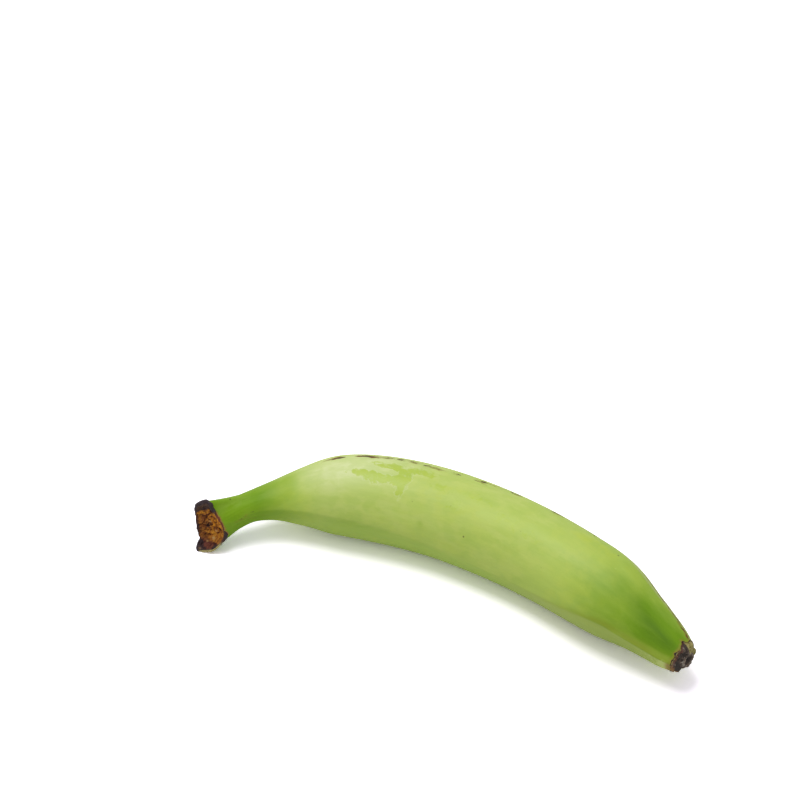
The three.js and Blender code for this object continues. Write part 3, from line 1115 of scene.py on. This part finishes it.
class PlantainColours(bpy.types.PropertyGroup):
    """Colours of the fruit's three finishes."""

    green: paint("Green", "Main colour of the peel", (0.328, 0.464, 0.062))
    pale_green: paint("Pale green", "Paler streaks in the peel", (0.398, 0.522, 0.086))
    yellow_green: paint("Yellow green", "Peel without its bloom", (0.42, 0.52, 0.058))
    # Pale colour of the waxy bloom, also laid on as a painted sheen.
    bloom: paint("Bloom", "Waxy bloom on the peel", (0.505, 0.585, 0.18))
    # Pale colour of the thickest bloom, also laid on as a painted highlight.
    frost: paint("Frost", "Thickest bloom, on the shoulder", (0.70, 0.74, 0.46))
    # Deep green of the stem, also laid under the stem and the front ridge as painted shade.
    deep_green: paint("Deep green", "Peel at the stem", (0.135, 0.272, 0.0015))
    leaf_green: paint("Leaf green", "Lighter streaks of the stem", (0.17, 0.315, 0.002))
    # Dark green, used for painted shade in the hollow near the flower end and for fine streaks.
    dark_green: paint("Dark green", "Hollow near the flower end", (0.075, 0.17, 0.0015))
    dull_green: paint("Dull green", "Face under the front ridge", (0.275, 0.45, 0.042))
    pale_facet: paint("Pale face", "Narrow faces near the flower end", (0.34, 0.42, 0.08))
    yellowed: paint("Yellowed peel", "Band along the front ridge", (0.245, 0.315, 0.018))
    olive: paint("Olive", "Peel that starts to dry", (0.20, 0.19, 0.015))
    tan: paint("Tan", "Dried peel", (0.30, 0.155, 0.045))
    scuff: paint("Scuff", "Knocked ridges and specks", (0.05, 0.03, 0.012))
    bruise: paint("Bruise", "Browner parts of the knocks", (0.16, 0.07, 0.015))
    callus: paint("Callus", "Strands on the cut", (0.47, 0.165, 0.012))
    callus_bright: paint("Bright callus", "Brightest strands", (0.80, 0.35, 0.025))
    # Dark between the strands: partly the tissue's own colour, partly painted shade in the hollows
    # of the cut.
    callus_gap_shade: paint("Deep callus", "Between the strands", (0.07, 0.015, 0.01))
    maroon: paint("Maroon", "Ledge of the lower knife stroke", (0.15, 0.04, 0.03))
    heel: paint("Heel", "Pale edge under the crown", (0.42, 0.36, 0.14))
    rim: paint("Sap stain", "Lip and stains of the cut", (0.026, 0.013, 0.016))
    # Pale flecks, partly painted highlights on the cut.
    fleck_and_highlight: paint("Fleck", "Pale flecks on the cut", (0.62, 0.38, 0.14))
    dried: paint("Dried flower", "Main colour of the flower end", (0.03, 0.021, 0.016))
    # Lighter brown of the worn folds, laid where the relief stands up, partly as a painted
    # highlight.
    dried_brown: paint("Worn flower", "Folds of the flower end", (0.16, 0.105, 0.07))
    rust: paint("Rust", "Foot of the flower end and of the cut", (0.15, 0.04, 0.02))
    # Grey of the flecks on raised relief, partly painted highlights.
    dried_fleck: paint("Grey fleck", "Flecks on the flower end", (0.38, 0.35, 0.30))


class StudioSettings(bpy.types.PropertyGroup):
    """The camera, the lamp and the floor."""

    azimuth: amount(
        "Azimuth", "How far round the camera stands", np.radians(21.75), subtype="ANGLE",
    )
    elevation: amount(
        "Elevation", "How steeply the camera looks down", np.radians(40.5), subtype="ANGLE",
    )
    distance: amount("Distance", "From the camera to its aim", 1.11, min=0.2, unit="LENGTH")
    aim: FloatVectorProperty(
        name="Aim", description="Point of the floor that the camera is aimed at",
        subtype="TRANSLATION", unit="LENGTH", default=(-0.0787, 0.1183, 0.0),
    )
    lens: amount("Lens", "Focal length in millimetres", 85.0, min=10)
    floor: paint("Floor", "Colour of the floor", (0.86, 0.86, 0.86))
    key: amount("Main lamp", "Power of the large lamp overhead", 7.5, min=0, unit="POWER")
    fill: amount("Fill", "Strength of the light from all round", 0.58, min=0)


# ---- Studio, in metres ----

# From the middle of the floor to its edges.
FLOOR_REACH = 6.0
# What the floor reflects as well for the camera alone, so that it is white outside the shadow.
FLOOR_LIFT = (0.625, 0.56, 0.70)
# How far from the fruit the floor starts and ends to fade into the white surround.
FLOOR_FADE = (0.3, 0.9)
# The lamp's breadth, and how far it is from the middle of the fruit.
LAMP_SIDE = 0.6
LAMP_DISTANCE = 1.15
# How far the lamp stands away from the camera and to its right, for each metre up.
LAMP_LEAN = (0.16, -0.22)
SENSOR_WIDTH = 36
CLIP_END = 50


def floor_finish(settings):
    """White floor that keeps the fruit's shadow, and fades into the white surround further off."""
    material = bpy.data.materials.new("Studio floor")
    material.use_nodes = True
    material.node_tree.nodes.clear()
    board = Board(material.node_tree)
    seen = board.put("LightPath").outputs["Is Camera Ray"]
    matt = board.put("BsdfDiffuse", board.blend(seen, tuple(settings.floor), (1, 1, 1)))
    lift = board.put("BsdfDiffuse", board.blend(seen, (0, 0, 0), FLOOR_LIFT))
    both = board.put("AddShader", matt.outputs[0], lift.outputs[0])
    white = board.put("Emission")
    place = board.put("TexCoord").outputs["Object"]
    way = board.put("VectorMath", place, operation="LENGTH").outputs["Value"]
    share = board.times(board.span(way, *FLOOR_FADE), seen)
    mix = board.put("MixShader", share, both.outputs[0], white.outputs[0])
    board.put("OutputMaterial", mix.outputs[0])
    return material


def white_surround(fill):
    """A world that looks white, and lights the fruit from all round with the fill's strength."""
    world = bpy.data.worlds.new("Studio")
    world.use_nodes = True
    board = Board(world.node_tree)
    surround = world.node_tree.nodes["Background"].inputs
    surround["Color"].default_value = (1, 1, 1, 1)
    path = board.put("LightPath").outputs
    mirrored = board.most(path["Is Glossy Ray"], path["Is Transmission Ray"])
    seen = board.most(path["Is Camera Ray"], mirrored)
    board.join(board.span(seen, 0.0, 1.0, fill, 1.0, soft=False), surround["Strength"])
    return world


def set_up(scene, name, data, place, toward):
    """Adds a lamp or camera to the scene at a place, looking in the direction `toward`."""
    thing = bpy.data.objects.new(name, data)
    thing.location = place
    thing.rotation_mode = "QUATERNION"
    thing.rotation_quaternion = toward.to_track_quat("-Z", "Y")
    scene.collection.objects.link(thing)
    return thing


# ---- Operators ----


class PLANTAIN_OT_grow(bpy.types.Operator):
    """Grow the plantain: one closed skin with its cut stem and dried flower end"""

    bl_idname = "plantain.grow"
    bl_label = "Grow plantain"

    def execute(self, context):
        scene = context.scene
        surface, at, rows = grown_fruit(scene.plantain_shape)
        if not np.isfinite(surface).all():
            raise RuntimeError("the fruit's surface has points with no place")
        mesh = mesh_of("Plantain", surface, at, rows)
        give_attribute(mesh, "place", stacked(at.along, at.side, at.up))
        for name in ("from_rim", "past_peel", "relief"):
            give_attribute(mesh, name, getattr(at, name))
        for name, values in painted_fields(at).items():
            give_attribute(mesh, name, values)

        effects = {
            "streaks": streaks_group(), "broken": broken_group(), "specks": specks_group(),
            "drying": drying_group(),
        }
        for finish in (peel_finish, cut_finish, dried_finish):
            mesh.materials.append(finish(scene.plantain_colours, effects))
        # The faces of the cut take the second finish, the peel's the first and the tip's the third.
        count, columns = surface.shape[:2]
        band = np.digitize(np.repeat(np.arange(count - 1), columns), rows[:2])
        slots = np.array([1, 0, 2], np.int32)
        mesh.polygons.foreach_set("material_index", slots[band])

        fruit = bpy.data.objects.new("plantain_fruit", mesh)
        scene.collection.objects.link(fruit)
        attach(fruit, "root")
        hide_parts(NODE)
        return {"FINISHED"}


class PLANTAIN_OT_studio(bpy.types.Operator):
    """Set up the floor, the lamp, the white surround and the camera"""

    bl_idname = "plantain.studio"
    bl_label = "Set up studio"

    def execute(self, context):
        scene = context.scene
        settings = scene.plantain_studio
        low, high = cad_box
        if high[0] <= low[0]:
            raise RuntimeError("the part has no size, so nothing can be lit")

        mesh = bpy.data.meshes.new("Floor")
        corners = [(-1, -1), (1, -1), (1, 1), (-1, 1)]
        corners = [(FLOOR_REACH * x, FLOOR_REACH * y, low[2]) for x, y in corners]
        mesh.from_pydata(corners, [], [(0, 1, 2, 3)])
        mesh.materials.append(floor_finish(settings))
        floor = bpy.data.objects.new("studio_floor", mesh)
        scene.collection.objects.link(floor)
        scene.world = white_surround(settings.fill)

        turn, rise = settings.azimuth, settings.elevation
        right = Vector((np.cos(turn), np.sin(turn), 0))
        away = Vector((-np.sin(turn), np.cos(turn), 0))
        up = Vector((0, 0, 1))
        lamp = bpy.data.lights.new("Main lamp", "AREA")
        lamp.shape = "RECTANGLE"
        lamp.size = lamp.size_y = LAMP_SIDE
        lamp.energy = settings.key
        middle = Vector(((low[0] + high[0]) / 2, (low[1] + high[1]) / 2, low[2]))
        to_lamp = (LAMP_LEAN[0] * away + LAMP_LEAN[1] * right + up).normalized()
        set_up(scene, "main_lamp", lamp, middle + LAMP_DISTANCE * to_lamp, -to_lamp)

        lens = bpy.data.cameras.new("Studio camera")
        lens.lens = settings.lens
        lens.sensor_width = SENSOR_WIDTH
        lens.clip_end = CLIP_END
        back = (-away * np.cos(rise) + up * np.sin(rise)).normalized()
        stand = Vector(settings.aim) + settings.distance * back
        scene.camera = set_up(scene, "studio_camera", lens, stand, -back)
        scene.view_settings.view_transform = "Standard"
        return {"FINISHED"}


class PLANTAIN_PT_panel(bpy.types.Panel):
    """Lists the plantain's steps and settings."""

    bl_label = "Plantain"
    bl_idname = "PLANTAIN_PT_panel"
    bl_space_type = "VIEW_3D"
    bl_region_type = "UI"
    bl_category = "Plantain"

    def draw(self, context):
        for title, key, operator in (
            ("Shape", "plantain_shape", PLANTAIN_OT_grow),
            ("Colours", "plantain_colours", None),
            ("Studio", "plantain_studio", PLANTAIN_OT_studio),
        ):
            box = self.layout.box()
            box.label(text=title)
            settings = getattr(context.scene, key)
            for name in settings.__annotations__:
                box.prop(settings, name)
            if operator:
                box.operator(operator.bl_idname)


SETTINGS = {
    "plantain_shape": PlantainShape,
    "plantain_colours": PlantainColours,
    "plantain_studio": StudioSettings,
}
CLASSES = (*SETTINGS.values(), PLANTAIN_OT_grow, PLANTAIN_OT_studio, PLANTAIN_PT_panel)


def register():
    for kind in CLASSES:
        bpy.utils.register_class(kind)
    for key, kind in SETTINGS.items():
        setattr(bpy.types.Scene, key, PointerProperty(type=kind))


def unregister():
    for key in SETTINGS:
        delattr(bpy.types.Scene, key)
    for kind in reversed(CLASSES):
        bpy.utils.unregister_class(kind)


def main():
    register()
    bpy.ops.plantain.grow()
    bpy.ops.plantain.studio()


if __name__ == "__main__":
    main()
